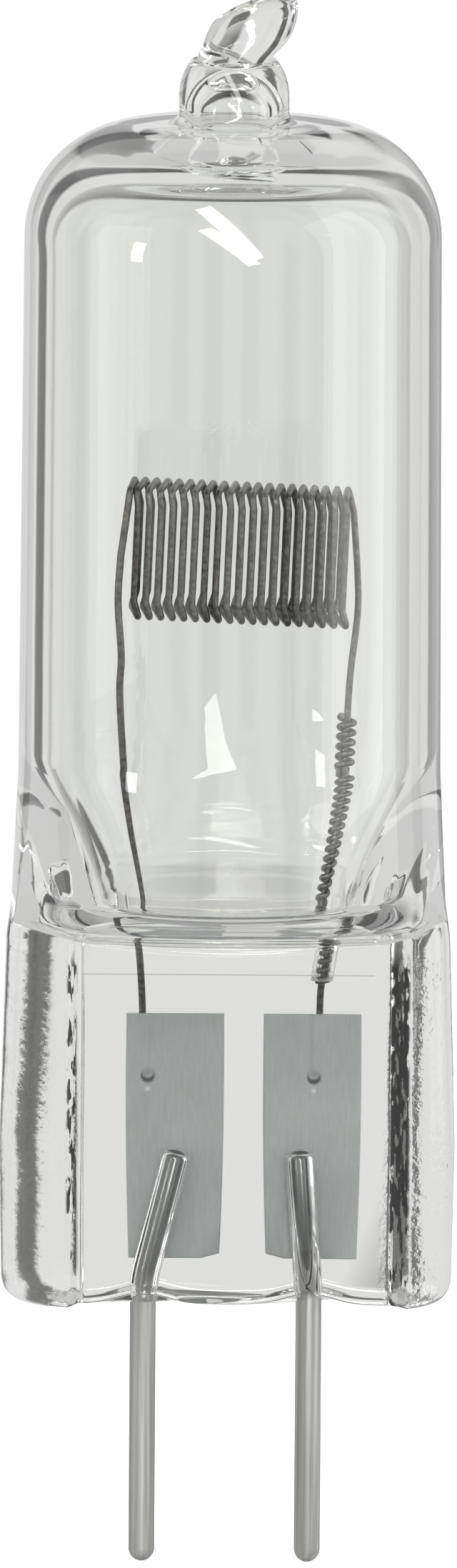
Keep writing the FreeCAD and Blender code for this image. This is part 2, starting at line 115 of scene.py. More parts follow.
def drawn_molybdenum():
    """Drawn molybdenum: satin, brighter along its draw lines, burnt at the tips, painted a darker grey as
    shade in the glass.
    """
    material, tree = new_material("drawn_molybdenum")
    place = add(tree, "ShaderNodeTexCoord").outputs["Object"]
    along = add(tree, "ShaderNodeMapping", {"Vector": place, "Scale": (1.0, 1.0, 0.02)})
    lines = add(tree, "ShaderNodeTexNoise", {
        "Vector": along.outputs[0],
        "Scale": 1 / (DRAW_LINE_WIDTH * MM),
        "Detail": 4.0,
    }).outputs[0]
    streaks = spread(tree, lines, MOLYBDENUM, MOLYBDENUM_BRIGHT)
    height = add(tree, "ShaderNodeSeparateXYZ", {0: place}).outputs["Z"]
    cloud = add(tree, "ShaderNodeTexNoise", {
        "Vector": place,
        "Scale": BURN_CLOUDS / MM,
        "Detail": 3.0,
    })
    wander = add(tree, "ShaderNodeMath", {
        0: cloud.outputs[0],
        1: BURN_WANDER * MM,
        2: height,
    }, operation="MULTIPLY_ADD")
    low, high = BURNT_LEVELS
    burnt = spread(tree, wander.outputs[0], MOLYBDENUM_BURNT, streaks, low * MM, high * MM)
    # painted shade: above this height the sealed ends turn a darker grey, as the metal looks in the glass
    low, high = SEALED_SHADE_LEVELS
    sealed_shade = spread(tree, height, burnt, MOLYBDENUM_SEALED_SHADE, low * MM, high * MM)
    roughness = add(tree, "ShaderNodeMapRange", {"Value": lines, "To Min": 0.28, "To Max": 0.45})
    relief = add(tree, "ShaderNodeBump", {"Height": lines, "Strength": 0.25, "Distance": 0.02 * MM})
    surface = add(tree, "ShaderNodeBsdfPrincipled", {
        "Base Color": sealed_shade,
        "Metallic": 1.0,
        "Roughness": roughness.outputs[0],
        "Normal": relief.outputs[0],
    })
    add(tree, "ShaderNodeOutputMaterial", {0: surface.outputs[0]})
    return material


def skin(mesh, rings, inside=False):
    """Add a closed skin over a stack of rings to a bmesh. Inside ones face the hollow."""
    loops = [[mesh.verts.new(Vector(point) * MM) for point in ring] for ring in rings]
    faces = [tuple(reversed(loops[0])), tuple(loops[-1])]
    for lower, upper in zip(loops, loops[1:]):
        for index in range(len(lower)):
            after = (index + 1) % len(lower)
            faces.append((lower[index], lower[after], upper[after], upper[index]))
    for face in faces:
        made = mesh.faces.new(face[::-1] if inside else face)
        made.smooth = True


def register(piece, node):
    """Hang the piece on the root body and hide the CAD node that it stands for."""
    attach(piece, "root")
    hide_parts(node)


def finished(name, mesh, material, node):
    """Make an object of a bmesh, which stands for one CAD node."""
    data = bpy.data.meshes.new(name)
    mesh.to_mesh(data)
    mesh.free()
    data.materials.append(material)
    piece = bpy.data.objects.new(name, data)
    bpy.context.scene.collection.objects.link(piece)
    register(piece, node)


def pin_axis(side):
    """Places and directions up the middle of a pin, from where its tip's dome starts to its root."""
    lean = math.radians(PIN_LEANS[side])
    upright = Vector((0, 0, 1))
    start = Vector((side * PIN_SPACING / 2, 0, 0))
    places = [(start - upright * (PIN_LENGTH - PIN_RADIUS), upright), (start, upright)]
    for step in range(1, PIN_BEND_STEPS + 1):
        angle = lean * step / PIN_BEND_STEPS
        inward = PIN_BEND_RADIUS * (1 - math.cos(angle))
        way = Vector((-side * math.sin(angle), 0, math.cos(angle)))
        places.append((start + Vector((-side * inward, 0, PIN_BEND_RADIUS * math.sin(angle))), way))
    bent, way = places[-1]
    places.append((bent + way * ((PIN_TOP - bent.z) / way.z), way))
    return places


def ring_across(middle, way, radius, sides):
    """A ring of points square to the way, which starts on its +X side."""
    across = Vector((0, 1, 0)).cross(way).normalized()
    back = way.cross(across)
    angles = [2 * math.pi * index / sides for index in range(sides)]
    return [middle + (across * math.cos(a) + back * math.sin(a)) * radius for a in angles]


def pin_rings(side):
    """Rings up a pin, from the pole of its domed tip to the rounded edge of its root."""
    axis = pin_axis(side)
    foot, way = axis[0]
    rings = []
    for step in range(1, TIP_STEPS):
        angle = math.radians(90 * step / TIP_STEPS)
        drop = way * (PIN_RADIUS * math.cos(angle))
        rings.append(ring_across(foot - drop, way, PIN_RADIUS * math.sin(angle), PIN_SIDES))
    rings += [ring_across(middle, way, PIN_RADIUS, PIN_SIDES) for middle, way in axis]
    top, way = axis[-1]
    for step in range(1, ROOT_STEPS + 1):
        angle = math.radians(85 * step / ROOT_STEPS)
        rise = way * (ROOT_DOME * math.sin(angle))
        rings.append(ring_across(top + rise, way, PIN_RADIUS * math.cos(angle), PIN_SIDES))
    return rings


pin_metal = drawn_molybdenum()
for side, name in SIDES.items():
    mesh = bmesh.new()
    skin(mesh, pin_rings(side))
    finished(f"contact_pin_{name}", mesh, pin_metal, f"pin_{name}")

# Sealing foils: molybdenum ribbon 0.05 mm thick, rolled and etched to a matt blue grey.
# The glass closes tightly on them, so they carry the current out through the pinch. Their edges bow
# a little, their inner bottom corners have curled, and each bears the round dent of its weld.
FOIL_THICKNESS = 0.05
FOIL_EDGE_SHARE = 0.2
FOIL_BACK = 0.52
FOIL_TOP = 11.15
FOIL_LENGTH = 9.5
FOIL_WIDTHS = (3.6, 3.85)
FOIL_BOW = 0.06
FOIL_RIPPLE = 0.03
FOIL_PLACES = {-1: -2.0, 1: 3.25}
FOIL_COLUMNS = 72
FOIL_ROWS = 180
CURL_REACH = 0.336
CURL_WIDTH_SHARE = 0.2
CURL_HEIGHT_SHARE = 0.12
CURL_BACK = 0.6
CURL_UP = 0.5
WELDS = {-1: (-3.04, 8.72), 1: (3.31, 8.68)}
WELD_REACH = 0.22
WELD_SINK = 0.12
RIDGE = 0.05
RIDGE_WIDTH = 0.12
RIDGE_START = 0.4
ROLLED_GREY = "#babfbe"
ROLLED_PALE = "#d3d7d6"
WELD_PAINTED_SHADE = "#5d6160"
WELD_PAINTED_HIGHLIGHT = "#f4f5f5"
WELD_SPOTS = (
    # how far below the weld, radius, and tone: a painted shade ring, bare foil over its top, a painted
    # highlight dot
    (0.0, 0.26, WELD_PAINTED_SHADE),
    (-0.14, 0.22, None),
    (0.5, 0.09, WELD_PAINTED_HIGHLIGHT),
)
SPOT_FADE = 0.05
# how many of them to a millimetre
ROLLING_MARKS = 9.0
BLOTCHES = 0.35


def rolled_foil():
    """Rolled molybdenum foil: matt, blue grey, with faint lengthwise rolling marks and blotches, and a
    painted shade and highlight at each weld.
    """
    material, tree = new_material("rolled_molybdenum_foil")
    place = add(tree, "ShaderNodeTexCoord").outputs["Object"]
    along = add(tree, "ShaderNodeMapping", {"Vector": place, "Scale": (1.0, 1.0, 0.15)})
    marks = add(tree, "ShaderNodeTexNoise", {
        "Vector": along.outputs[0],
        "Scale": ROLLING_MARKS / MM,
        "Detail": 3.0,
    })
    blotch = add(tree, "ShaderNodeTexNoise", {"Vector": place, "Scale": BLOTCHES / MM, "Detail": 3.0})
    both = add(tree, "ShaderNodeMath", {
        0: marks.outputs[0],
        1: blotch.outputs[0],
    }, operation="ADD").outputs[0]
    colour = spread(tree, both, ROLLED_GREY, ROLLED_PALE, 0.45, 1.6)
    # painted shade and highlight at each weld: a dark crescent, and a bright dot below it
    for x, z in WELDS.values():
        bare = colour
        for drop, reach, tone in WELD_SPOTS:
            middle = (x * MM, FOIL_BACK * MM, (z - drop) * MM)
            away = add(tree, "ShaderNodeVectorMath", {0: place, 1: middle}, operation="DISTANCE").outputs[1]
            low = (reach - SPOT_FADE) * MM
            high = (reach + SPOT_FADE) * MM
            colour = spread(tree, away, tone or bare, colour, low, high)
    relief = add(tree, "ShaderNodeBump", {"Height": both, "Strength": 0.1, "Distance": 0.02 * MM})
    surface = add(tree, "ShaderNodeBsdfPrincipled", {
        "Base Color": colour,
        "Metallic": 0.5,
        "Roughness": 0.7,
        "Normal": relief.outputs[0],
    })
    add(tree, "ShaderNodeOutputMaterial", {0: surface.outputs[0]})
    return material


def foil_relief(x, z, weld):
    """How far the foil stands forward over the wire behind it, and sinks in at the wire's weld."""
    weld_x, weld_z = weld
    off = (x - weld_x) / RIDGE_WIDTH
    stand = RIDGE * math.exp(-off * off) * min(1.0, max(0.0, (z - weld_z) / RIDGE_START))
    near = math.hypot(x - weld_x, z - weld_z) / WELD_REACH
    return stand - WELD_SINK * math.exp(-near * near)


def foil_point(side, across, up):
    """A place on the middle of a foil, from shares of its width and height."""
    half = (FOIL_WIDTHS[0] + (FOIL_WIDTHS[1] - FOIL_WIDTHS[0]) * up) / 2
    half += FOIL_BOW * math.sin(math.pi * up) - FOIL_BOW
    x = FOIL_PLACES[side] + (2 * across - 1) * half
    z = FOIL_TOP - FOIL_LENGTH * (1 - up)
    from_inner_edge = 1 - across if side < 0 else across
    curl = CURL_REACH * max(0.0, 1 - from_inner_edge / CURL_WIDTH_SHARE)
    curl *= max(0.0, 1 - up / CURL_HEIGHT_SHARE)
    ripple = FOIL_RIPPLE * math.sin(5 * up + 3 * across + side)
    y = FOIL_BACK - FOIL_THICKNESS / 2 + ripple + curl * CURL_BACK - foil_relief(x, z, WELDS[side])
    return Vector((x, y, z + curl * CURL_UP))


def foil_sheet(mesh, side, depth):
    """One face of a foil as rows of points, drawn in along its rim, where the foil is thin."""
    sheet = []
    for row in range(FOIL_ROWS + 1):
        line = []
        for column in range(FOIL_COLUMNS + 1):
            point = foil_point(side, column / FOIL_COLUMNS, row / FOIL_ROWS)
            inside = min(column, FOIL_COLUMNS - column, 1)
            point.y += depth * (FOIL_EDGE_SHARE + (1 - FOIL_EDGE_SHARE) * inside)
            line.append(mesh.verts.new(point * MM))
        sheet.append(line)
    return sheet


def foil_mesh(side):
    """A closed foil: its front and rear faces, joined round the rim."""
    mesh = bmesh.new()
    front = foil_sheet(mesh, side, -FOIL_THICKNESS / 2)
    rear = foil_sheet(mesh, side, FOIL_THICKNESS / 2)
    for row in range(FOIL_ROWS):
        for column in range(FOIL_COLUMNS):
            for sheet, turn in ((front, 1), (rear, -1)):
                corners = [
                    sheet[row][column],
                    sheet[row][column + 1],
                    sheet[row + 1][column + 1],
                    sheet[row + 1][column],
                ]
                mesh.faces.new(corners[::turn]).smooth = True
    rim = [(0, column) for column in range(FOIL_COLUMNS)]
    rim += [(row, FOIL_COLUMNS) for row in range(FOIL_ROWS)]
    rim += [(FOIL_ROWS, column) for column in range(FOIL_COLUMNS, 0, -1)]
    rim += [(row, 0) for row in range(FOIL_ROWS, 0, -1)]
    for (row, column), (next_row, next_column) in zip(rim, rim[1:] + rim[:1]):
        mesh.faces.new((
            front[next_row][next_column],
            front[row][column],
            rear[row][column],
            rear[next_row][next_column],
        ))
    return mesh


foil_metal = rolled_foil()
for side, name in SIDES.items():
    finished(f"sealing_foil_{name}", foil_mesh(side), foil_metal, f"foil_{name}")

# Filament: one tungsten wire, 0.27 mm thick, wound flat on a bar for twenty turns.
# Its front and back runs stand in line, and each turn moves on along the top. The left leg leaves in
# front and the right leg behind, and both run down into the pinch, where the foils carry them.
WIRE_RADIUS = 0.135
WIRE_SIDES = 12
COIL_TURNS = 20
COIL_PITCH = 0.435
COIL_HEIGHT = 4.88
COIL_DEPTH = 3.0
COIL_CORNER = 0.28
CORNER_SHARE = 0.48
SHARP_TURN = math.radians(30)
COIL_SWINGS = {
    # shares of the pitch by which each corner stands off its straight run
    "lead_in": 0.25,
    "front_foot": 0.45,
    "front_top": -0.2,
    "rear_top": -0.6,
    "rear_foot": -0.4,
}
# how far from the coil's top or foot the strands are straight again
SWING_HEIGHT = 0.6
REAR_SWING_HEIGHT = 0.9
COIL_PLACE = 0.35
COIL_CENTRE = 28.98
COIL_TILT = 2.3
CORNER_STEPS = 6
LEG_STEPS = 10
TUNGSTEN_DARK = "#55534f"
TUNGSTEN = "#7d7b77"
WIRE_GRAIN = 0.2
# the legs' points are listed from the coil down to the foils
LEFT_LEG = [
    (-4.13, -1.60, 29.05),
    (-4.22, -1.58, 27.30),
    (-4.09, -1.50, 25.20),
    (-4.14, -1.30, 23.40),
    (-3.84, -0.60, 18.56),
    (-3.50, 0.00, 15.20),
    (-3.36, 0.15, 13.20),
    (-3.26, 0.69, 11.30),
    (-3.24, 0.69, 8.75),
]
RIGHT_LEG = [
    (4.92, 1.65, 28.30),
    (4.96, 1.62, 26.60),
    (4.69, 1.50, 24.30),
    (4.56, 1.35, 22.50),
    (4.17, 0.30, 16.80),
    (3.62, 0.15, 12.75),
    (3.52, 0.69, 11.30),
    (3.50, 0.69, 8.75),
]


def drawn_tungsten():
    """Drawn tungsten: dark steel grey, satin, faintly mottled where it has been fired."""
    material, tree = new_material("drawn_tungsten")
    place = add(tree, "ShaderNodeTexCoord").outputs["Object"]
    grain = add(tree, "ShaderNodeTexNoise", {
        "Vector": place,
        "Scale": 1 / (WIRE_GRAIN * MM),
        "Detail": 3.0,
    })
    surface = add(tree, "ShaderNodeBsdfPrincipled", {
        "Base Color": spread(tree, grain.outputs[0], TUNGSTEN_DARK, TUNGSTEN),
        "Metallic": 1.0,
        "Roughness": 0.36,
    })
    add(tree, "ShaderNodeOutputMaterial", {0: surface.outputs[0]})
    return material


def smooth(points, steps):
    """A smooth curve through the points, with a few steps between each pair."""
    points = [Vector(point) for point in points]
    ends = [points[0] * 2 - points[1]] + points + [points[-1] * 2 - points[-2]]
    result = []
    for before, start, end, after in zip(ends, ends[1:], ends[2:], ends[3:]):
        for step in range(steps):
            t = step / steps
            result.append(0.5 * (
                start * 2
                + (end - before) * t
                + (before * 2 - start * 5 + end * 4 - after) * t**2
                + (start * 3 - before - end * 3 + after) * t**3
            ))
    return result + [points[-1]]


def on_coil(along, back, up):
    """A place given from the middle of the coil, which hangs a little askew."""
    tilt = Matrix.Rotation(math.radians(COIL_TILT), 3, "Y")
    return Vector((COIL_PLACE, 0, COIL_CENTRE)) + tilt @ Vector((along, back, up))


def coil_corners():
    """Square corners of the coil's path: up in front, over, down behind, and back below."""
    start = -COIL_PITCH * COIL_TURNS / 2
    swings = {name: share * COIL_PITCH for name, share in COIL_SWINGS.items()}
    back = COIL_DEPTH / 2
    up = COIL_HEIGHT / 2
    corners = []
    for turn in range(COIL_TURNS):
        front = start + turn * COIL_PITCH
        rear = front + COIL_PITCH
        if turn:
            corners.append(on_coil(front + swings["front_foot"], -back, -up))
            corners.append(on_coil(front, -back, SWING_HEIGHT - up))
            corners.append(on_coil(front, -back, up - SWING_HEIGHT))
        corners.append(on_coil(front + swings["front_top" if turn else "lead_in"], -back, up))
        corners.append(on_coil(rear + swings["rear_top"], back, up))
        corners.append(on_coil(rear, back, up - REAR_SWING_HEIGHT))
        if turn < COIL_TURNS - 1:
            corners.append(on_coil(rear, back, SWING_HEIGHT - up))
            corners.append(on_coil(rear + swings["rear_foot"], back, -up))
    return corners


def rounded(route, radius, steps):
    """The route with its sharp corners turned into arcs."""
    result = [route[0]]
    for before, corner, after in zip(route, route[1:], route[2:]):
        back = (before - corner).normalized()
        on = (after - corner).normalized()
        turn = math.pi - back.angle(on)
        if turn < SHARP_TURN:
            result.append(corner)
            continue
        shorter = min((before - corner).length, (after - corner).length)
        reach = min(radius * math.tan(turn / 2), CORNER_SHARE * shorter)
        centre = corner + (back + on).normalized() * (reach / math.sin(turn / 2))
        first = corner + back * reach - centre
        last = corner + on * reach - centre
        for step in range(steps + 1):
            share = step / steps
            result.append(centre + (
                first * math.sin((1 - share) * turn) + last * math.sin(share * turn)
            ) / math.sin(turn))
    return result + [route[-1]]


def socket(tree, name, kind, value):
    """A named input of a geometry tree, and its default."""
    made = tree.interface.new_socket(name=name, in_out="INPUT", socket_type=kind)
    if value is not None:
        made.default_value = value
    return made.identifier


def wire_tree():
    """Geometry nodes that turn a path into round wire, or wind fine wire round it first."""
    tree = bpy.data.node_groups.new("wire_along_path", "GeometryNodeTree")
    names = {}
    for key, name, kind, value in (
        ("path", "Path", "NodeSocketGeometry", None),
        ("radius", "Wire Radius", "NodeSocketFloat", 0.1 * MM),
        ("sides", "Sides", "NodeSocketInt", 12),
        ("turns", "Turns", "NodeSocketFloat", 0.0),
        ("winding", "Winding Radius", "NodeSocketFloat", 0.0),
        ("even", "Even Spacing", "NodeSocketBool", False),
        ("points", "Points", "NodeSocketInt", 100),
        ("finish", "Finish", "NodeSocketMaterial", None),
    ):
        names[key] = socket(tree, name, kind, value)
    tree.interface.new_socket(name="Wire", in_out="OUTPUT", socket_type="NodeSocketGeometry")
    given = add(tree, "NodeGroupInput").outputs
    evened = add(tree, "GeometryNodeResampleCurve", {"Curve": given["Path"], "Count": given["Points"]})
    path = add(tree, "GeometryNodeSwitch", {
        "Switch": given["Even Spacing"],
        "False": given["Path"],
        "True": evened.outputs[0],
    }, input_type="GEOMETRY")
    share = add(tree, "GeometryNodeSplineParameter").outputs["Factor"]
    turns = add(tree, "ShaderNodeMath", {0: share, 1: given["Turns"]}, operation="MULTIPLY").outputs[0]
    angle = add(tree, "ShaderNodeMath", {0: turns, 1: 2 * math.pi}, operation="MULTIPLY").outputs[0]
    normal = add(tree, "GeometryNodeInputNormal").outputs[0]
    tangent = add(tree, "GeometryNodeInputTangent").outputs[0]
    turned = add(tree, "ShaderNodeVectorRotate", {
        "Vector": normal,
        "Axis": tangent,
        "Angle": angle,
    }, rotation_type="AXIS_ANGLE")
    offset = add(tree, "ShaderNodeVectorMath", {
        0: turned.outputs[0],
        "Scale": given["Winding Radius"],
    }, operation="SCALE")
    wound = add(tree, "GeometryNodeSetPosition", {"Geometry": path.outputs[0], "Offset": offset.outputs[0]})
    section = add(tree, "GeometryNodeCurvePrimitiveCircle", {
        "Resolution": given["Sides"],
        "Radius": given["Wire Radius"],
    })
    tube = add(tree, "GeometryNodeCurveToMesh", {
        "Curve": wound.outputs[0],
        "Profile Curve": section.outputs[0],
        "Fill Caps": True,
    })
    shaded = add(tree, "GeometryNodeSetShadeSmooth", {"Geometry": tube.outputs[0]})
    real = add(tree, "GeometryNodeRealizeInstances", {"Geometry": shaded.outputs[0]})
    coated = add(tree, "GeometryNodeSetMaterial", {
        "Geometry": real.outputs[0],
        "Material": given["Finish"],
    })
    add(tree, "NodeGroupOutput", {0: coated.outputs[0]})
    return tree, names


def wire_piece(name, route, node, slot, **values):
    """A plain mesh of wire along the points, made by the wire tree."""
    curve = bpy.data.curves.new(name, "CURVE")
    curve.dimensions = "3D"
    spline = curve.splines.new("POLY")
    spline.points.add(len(route) - 1)
    for held, point in zip(spline.points, route):
        held.co = (*(point * MM), 1.0)
    host = bpy.data.objects.new(f"{name}_path", curve)
    bpy.context.scene.collection.objects.link(host)
    modifier = host.modifiers.new("wire", "NODES")
    modifier.node_group = wire_nodes
    for key, value in values.items():
        modifier[wire_inputs[key]] = value
    graph = bpy.context.evaluated_depsgraph_get()
    data = bpy.data.meshes.new_from_object(host.evaluated_get(graph))
    data.name = name
    host.modifiers.remove(modifier)
    bpy.data.objects.remove(host)
    bpy.data.curves.remove(curve)
    piece = bpy.data.objects.new(name, data)
    bpy.context.scene.collection.objects.link(piece)
    register(piece, node)


tungsten = drawn_tungsten()
wire_nodes, wire_inputs = wire_tree()
left_leg = smooth(LEFT_LEG, LEG_STEPS)
right_leg = smooth(RIGHT_LEG, LEG_STEPS)
wire_path = rounded(left_leg[::-1] + coil_corners() + right_leg, COIL_CORNER, CORNER_STEPS)
wire_piece(
    "filament_wire",
    wire_path,
    "filament",
    "tungsten",
    radius=WIRE_RADIUS * MM,
    sides=WIRE_SIDES,
    finish=tungsten,
)

# Support coil: fine tungsten wire, 0.25 mm thick, wound round the right leg for 27 turns.
# It stiffens the leg and steadies it where it enters the glass, and its foot sits in a round bore.
SUPPORT_RADIUS = 0.125
SUPPORT_WINDING = 0.285
SUPPORT_PITCH = 0.376
SUPPORT_TURNS = 27
SUPPORT_SIDES = 10
SUPPORT_STEPS = 20
SUPPORT_FOOT = 12.75

foot_index = next(index for index, point in enumerate(right_leg) if point.z < SUPPORT_FOOT)
climb = right_leg[foot_index::-1]
covered = [climb[0]]
remaining = SUPPORT_TURNS * SUPPORT_PITCH
for start, end in zip(climb, climb[1:]):
    span = (end - start).length
    covered.append(start + (end - start) * min(1.0, remaining / span))
    remaining -= span
    if remaining <= 0:
        break
wire_piece(
    "support_coil_wire",
    covered,
    "support_coil",
    "tungsten",
    radius=SUPPORT_RADIUS * MM,
    sides=SUPPORT_SIDES,
    turns=float(SUPPORT_TURNS),
    winding=SUPPORT_WINDING * MM,
    even=True,
    points=SUPPORT_TURNS * SUPPORT_STEPS,
    finish=tungsten,
)

# Quartz envelope: one length of fused quartz tube, blown to a dome, with the exhaust tube melted off
# into a leaning bead on top, and the foot pinched flat between steel jaws while it was soft.
# The jaws leave a thin web between two thick ribs, and the tube is drawn in above them.
RING_POINTS = 224
DOME_STEPS = 18
INNER_DOME_STEPS = 14
NECK_STEPS = 6
FILLET_STEPS = 6
BORE_STEPS = 10
BEAD_STEPS = 3
ON_EDGE = 1e-6
# heights and half widths of the pinch, and where each rib's flank starts and ends
RIB_OUTER = ((0.0, 8.6), (6.2, 8.72), (14.2, 8.47), (20.6, 7.6))
RIB_TOP = 19.8
RIB_HALF = 2.25
RIB_ROUNDINGS = {-1: 2.1, 1: 1.8}
RIB_FLANKS = {-1: (5.60, 6.08), 1: (6.31, 6.99)}
RIB_RIPPLE = 0.015
RIPPLES = (
    # share of the depth, waves per millimetre across and up, and where in the noise each side lies
    (1.0, 1.3, 0.9, 7, 0),
    (0.6, 2.5, 3.1, 11, 40),
)
RIB_BLEND = 0.4
WEB_HALF = 1.35
FOOT_CORNER = 1.0
FOOT_EDGE = 0.35
FOOT_LIFT = 0.42
FOOT_LIFT_WIDTH = 1.25
FOOT_LIFT_FADE = 2.5
TUBE_RADII = (8.36, 8.05, 7.93)
TUBE_HEIGHTS = (14.1, 20.6, 41.1)
JAW_SLOPE = math.radians(80)
JAW_FOOT = 13.5
JAW_HALF = 1.25
JAW_FOOT_CURVE = 0.7
JAW_TOP_CURVE = 1.6
DENTS = (
    # side, bearing from the side line, height of the top, depth at the jaws
    (-1, 28.5, 19.3, 0.46),
    (1, 20.0, 17.3, 0.40),
)
JAW_WALL = 1.0
CROWN = 45.45
DOME_CORNER = 4.35
NECK_RADIUS = 2.1
NECK_FILLET = 0.45
NECK_STRAIGHT = 0.55
NECK_DOME = 2.22
NECK_DOME_END = 40
NECK_LAND = 0.4
CROWN_RISE = 0.01
FOOT_LEVELS = (0.0, 0.05, 0.12, 0.2, 0.3, 0.45, 0.65, 0.85, 1.0, 1.3, 1.7, 2.1, 2.5)
LEVEL_RUNS = (
    # start, step, and number of rings up the outside, closest where the jaws have bent it
    (2.75, 0.25, 44),
    (13.75, 0.125, 36),
    (18.5, 0.5, 8),
    (22.5, 1.5, 13),
)
BEAD = (
    # height, sideways place, half width, half depth
    (47.66, -0.10, 1.35, 1.33),
    (48.10, 0.10, 1.45, 1.30),
    (48.54, 0.41, 1.57, 1.25),
    (49.00, 0.62, 1.60, 1.18),
    (49.42, 0.83, 1.53, 1.05),
    (49.86, 1.20, 1.20, 0.85),
    (50.12, 1.47, 0.88, 0.62),
    (50.28, 1.62, 0.50, 0.38),
)
WALL = 1.05
# the soft back wall has sagged inwards above the jaws
SAG_LEAN = 0.25
SAG_TOP = 23.4
SAG_FOOT = 19.5
SAG_END = 19.3
FLOOR = 14.45
FLOOR_WIDTH = 5.65
FLOOR_RISE = 7.0
HOLLOW_FLARE = 0.06
# start, step, and number of rings up the hollow
HOLLOW_LEVELS = (FLOOR, 0.125, 57)
SAG_LEVELS = (21.6, 0.5, 8)
BORE_LEVELS = (26.0, 1.6, 10)
INNER_CROWN = 43.8
INNER_CORNER = 2.9
TIP_HOLE = 1.62
TIP_HOLE_EDGE = (0.1, 0.04)
TIP_HOLE_TAPER = 0.35
NECK_BORE = 1.3
NECK_BORE_TOP = 47.2
NECK_BORE_END = 85
BORE_TAPER = 0.05
# the glass keeps a close bore round each pin, and round the foot of the support coil
PIN_BORE = 0.55
PIN_BORE_FOOT = 0.5
PIN_BORE_SHIFT = 0.02
PIN_BORE_START = 0.1
PIN_BORE_END = (0.2, 0.9)
SUPPORT_BORE = 0.44
SUPPORT_BORE_DROP = 0.25
SUPPORT_BORE_COVER = 0.15
# mirrored this often inside the wall, the glass is painted with a glow as if the light were spread evenly
PIPED_AFTER = 3.5
PIPED_LIGHT = 0.6
QUARTZ_TINT = "#f8f9f6"
PIT_WIDTH = 0.25
PIT_DEPTH = 0.02
PITTED_FROM = (5.7, 6.4)
PRESSED_BELOW = (13.2, 13.9)
# the faint line that the jaws' upper edge has left on the web
JAW_MARK = 12.86
JAW_MARK_WIDTH = 0.05
JAW_MARK_SHARE = 0.35
FROST_GREY = "#6c6c6a"
# painted shade: dark flecks along the ribs' inner flanks stand in for the dark the glass shows there
FLECK_WIDTH = 0.3
FLECK_FADE = 0.05
# heights between which the flecks thin out, and how far the noise is lowered
FEWER_FLECKS = (1.0, 5.0, 0.14)
RIB_SHADE_FLECKS = (
    # the flank's sides, and the least height of the noise that shows as a dark fleck
    (-6.12, -5.76, 0.50),
    (6.22, 6.95, 0.41),
)
FLANK_PAINTED_DARK = "#2b2b2a"


def between(pairs, at):
    """The value at a place between pairs of place and value, joined by straight lines."""
    for (low, first), (high, last) in zip(pairs, pairs[1:]):
        if at <= high:
            return first + (last - first) * max(0.0, (at - low) / (high - low))
    return pairs[-1][1]


def softer(one, other, blend):
    """The larger of two lengths, with the crease between them rounded off."""
    near = max(blend - abs(one - other), 0.0) / blend
    return max(one, other) + near * near * blend / 4


def tube_radius(z):
    """The tube's radius, which swells a little towards the pinch."""
    return between(tuple(zip(TUBE_HEIGHTS, TUBE_RADII)), z)


def bowl_depth(z, foot, half, clear, foot_curve, top_curve):
    """Half the depth above the jaws: a hollow curve, a flat slope, and a curve up to the tube."""
    curved = 1 - math.cos(JAW_SLOPE)
    low_y = half + foot_curve * curved
    low_z = foot + foot_curve * math.sin(JAW_SLOPE)
    high_y = clear - top_curve * curved
    high_z = low_z + (high_y - low_y) / math.tan(JAW_SLOPE)
    top_z = high_z + top_curve * math.sin(JAW_SLOPE)
    if z <= foot:
        return half
    if z < low_z:
        return half + foot_curve - math.sqrt(foot_curve**2 - (z - foot) ** 2)
    if z < high_z:
        return low_y + (z - low_z) * math.tan(JAW_SLOPE)
    if z < top_z:
        return clear - top_curve + math.sqrt(top_curve**2 - (top_z - z) ** 2)
    return clear


def rib_reach(z):
    """Half the width of the pinch, seen from the front."""
    reach = between(RIB_OUTER, z)
    if z < FOOT_CORNER:
        reach -= FOOT_CORNER - math.sqrt(FOOT_CORNER**2 - (FOOT_CORNER - z) ** 2)
    return reach


def rib_depth(x, z, side):
    """The pinch's thickness on one side: the web, the flank, and the rounded, rippled rib."""
    reach = rib_reach(z)
    if z > RIB_TOP or abs(x) > reach:
        return 0.0
    rib = -1 if x < 0 else 1
    foot, top = RIB_FLANKS[rib]
    rounding = RIB_ROUNDINGS[rib]
    rise = min(max((abs(x) - foot) / (top - foot), 0.0), 1.0)
    rise = rise * rise * (3 - 2 * rise)
    depth = WEB_HALF + (RIB_HALF - WEB_HALF) * rise
    past = abs(x) - (reach - rounding)
    if past > 0:
        depth += math.sqrt(max(0.0, rounding**2 - past**2)) - rounding
    ripple = 0.0
    for share, across, up, apart, start in RIPPLES:
        ripple += share * noise.noise(Vector((x * across, side * apart + start, z * up)))
    return depth + RIB_RIPPLE * rise * ripple


def dented(x, depth, level):
    """The tube's half depth, cut flat where the jaws' corners have leaned on its sides."""
    for side, bearing, top, sink in DENTS:
        if x * side <= 0 or level > top:
            continue
        angle = math.radians(bearing)
        reach = tube_radius(level) - sink * (top - level) / (top - JAW_FOOT)
        depth = min(depth, max(0.0, (reach - abs(x) * math.cos(angle)) / math.sin(angle)))
    return depth


